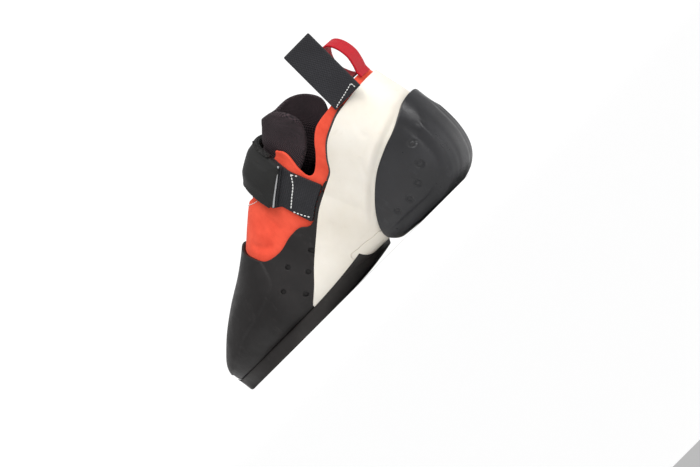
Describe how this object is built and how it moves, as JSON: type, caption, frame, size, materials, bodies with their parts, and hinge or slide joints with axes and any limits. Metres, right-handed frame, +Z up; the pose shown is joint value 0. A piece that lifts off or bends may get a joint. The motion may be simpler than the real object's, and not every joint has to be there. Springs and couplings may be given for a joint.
{
  "type": "climbing shoe",
  "caption": "Downturned climbing shoe for the right foot with a microfibre upper, rubber toe and heel rands, a rubber heel cup, a half sole, a hook-and-loop strap and pull tabs",
  "frame": {"origin": "on the ground, in the middle of the shoe's length and width", "axes": "+X towards the toe, +Y towards the inner side of the foot, +Z up"},
  "size_m": [0.2344, 0.0778, 0.132],
  "materials": {
    "black_rubber": "satin",
    "cup_rubber": "satin",
    "white_rubber": "satin",
    "microfibre": "matt nap",
    "knit": "knitted",
    "board": "matt",
    "black_webbing": "woven",
    "red_webbing": "woven"
  },
  "bodies": {
    "root": {"outsole": "black_rubber", "midsole": "board", "upper": "microfibre", "insole": "knit", "tongue": "knit", "toe_rand": "black_rubber", "heel_rand": "white_rubber", "arch_panel": "white_rubber", "heel_cup": "cup_rubber", "strap_anchor": "black_webbing", "strap": "black_webbing", "pull_tab": "black_webbing", "pull_loop": "red_webbing"}
  },
  "joints": []
}
